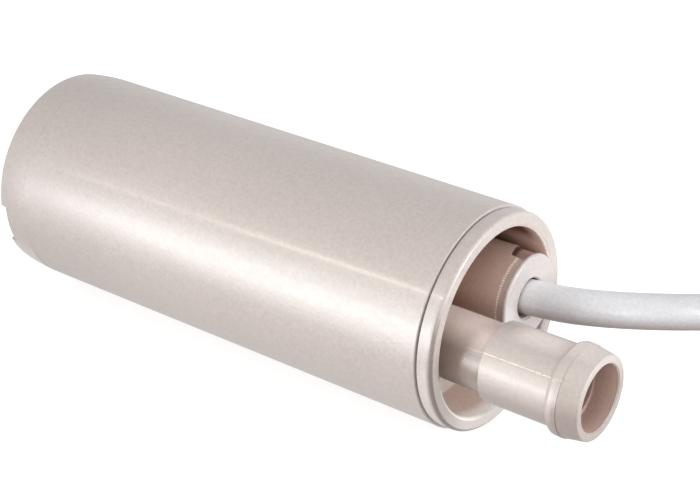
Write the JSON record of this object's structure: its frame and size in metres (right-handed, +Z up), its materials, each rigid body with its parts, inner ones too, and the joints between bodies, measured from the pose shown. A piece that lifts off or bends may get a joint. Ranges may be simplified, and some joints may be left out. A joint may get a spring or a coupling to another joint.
{
  "type": "submersible pump",
  "caption": "Slim in-line submersible water pump with a cylindrical body, an open intake with a strainer, an offset barbed hose tail and a sealed cable gland with a coiled lead.",
  "frame": {"origin": "centre of the pump's footprint on the surface it lies on, without its cable", "axes": "+X along the pump's axis from the intake to the outlet, +Z up"},
  "size_m": [0.24, 0.0693, 0.038],
  "materials": {
    "shell": "satin moulded plastic",
    "shell_shaded": "satin moulded plastic",
    "dark_plastic": "moulded plastic",
    "inner_plastic": "moulded plastic",
    "seal_rubber": "moulded rubber",
    "clamp_nylon": "moulded nylon",
    "cable_sheath": "smooth flexible PVC",
    "potting": "cast resin",
    "steel": "drawn",
    "bronze": "sintered",
    "ferrite": "ground",
    "copper": "enamelled",
    "carbon": "pressed carbon",
    "core_brown": "PVC",
    "core_blue": "PVC",
    "tie": "flat tie",
    "tinned": "tinned"
  },
  "bodies": {
    "pump_body": {"housing_tube": "shell", "intake_skirt": "shell", "outlet_head": "shell", "hose_tail": "shell", "gland_cap": "shell", "strainer": "shell_shaded", "guide_ring": "inner_plastic", "head_seal": "seal_rubber", "gland_grommet": "seal_rubber", "cable_clamp": "clamp_nylon", "cable_entry": "cable_sheath", "gland_potting": "potting", "motor_capsule": "inner_plastic", "shaft_seal": "seal_rubber", "capsule_cover": "inner_plastic", "capsule_seal": "seal_rubber", "duct_seal": "seal_rubber", "motor_can": "steel", "front_bush": "bronze", "rear_bush": "bronze", "brush_plate": "inner_plastic", "upper_magnet": "ferrite", "lower_magnet": "ferrite", "upper_brush": "carbon", "lower_brush": "carbon", "upper_terminal": "bronze", "lower_terminal": "bronze", "brown_lead": "core_brown", "blue_lead": "core_blue", "cable_free": "cable_sheath", "cable_hank": "cable_sheath", "hank_ties": "tie", "brown_core_end": "core_brown", "blue_core_end": "core_blue", "tinned_tips": "tinned"},
    "rotor": {"impeller": "dark_plastic", "motor_shaft": "steel", "armature_core": "steel", "armature_windings": "copper", "commutator": "copper"}
  },
  "joints": [
    {"name": "rotor_spin", "type": "hinge", "parent": "pump_body", "child": "rotor", "pos_m": [-0.03, 0, 0.019], "axis": [1, 0, 0], "continuous": true}
  ]
}
